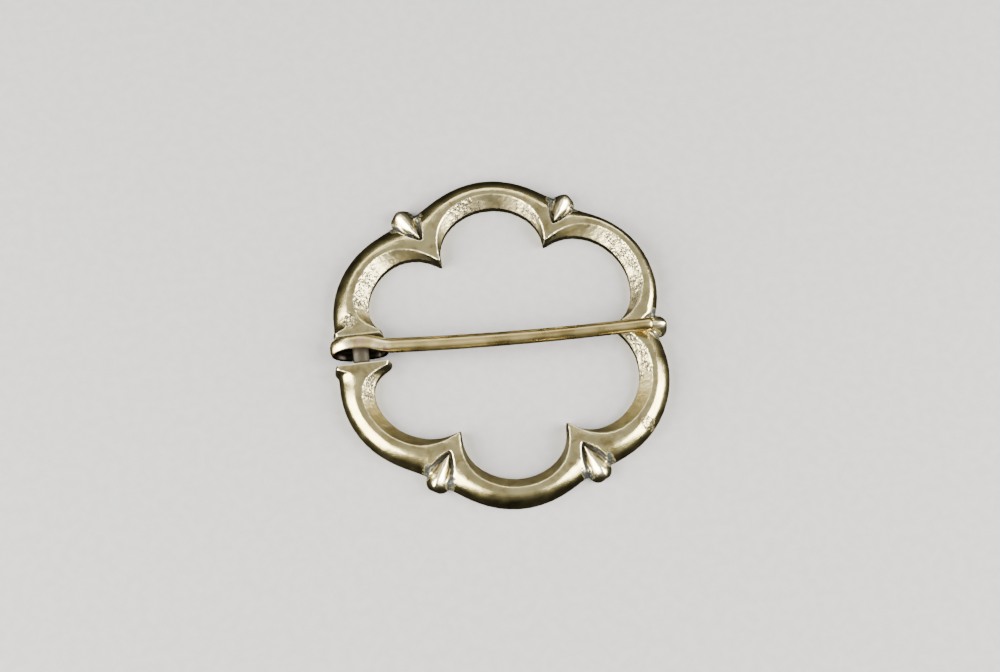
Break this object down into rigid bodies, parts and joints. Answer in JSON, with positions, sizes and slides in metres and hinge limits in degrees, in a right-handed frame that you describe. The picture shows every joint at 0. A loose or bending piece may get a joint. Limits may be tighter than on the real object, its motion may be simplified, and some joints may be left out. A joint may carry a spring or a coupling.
{
  "type": "lobed brooch",
  "caption": "Cast brass ring brooch of rounded lobes with thorns inside and knops outside, and a wire pin hinged on a bar across a notch.",
  "frame": {"origin": "middle of the ring, on its flat back", "axes": "+Z out of the front, -X towards the pin's hinge, +X towards the pin's point"},
  "size_m": [0.0374, 0.038, 0.0042],
  "materials": {
    "cast_brass": "cast, with a polished ridge and rim, a rough inner bevel and dark hollows",
    "brass_wire": "drawn wire, smooth and slightly toned"
  },
  "bodies": {
    "ring": {"ring": "cast_brass"},
    "pin": {"pin": "brass_wire"}
  },
  "joints": [
    {"name": "pin_hinge", "type": "hinge", "parent": "ring", "child": "pin", "pos_m": [-0.01568, 0, 0.0017], "axis": [0, -1, 0], "range_deg": [0, 175]}
  ]
}
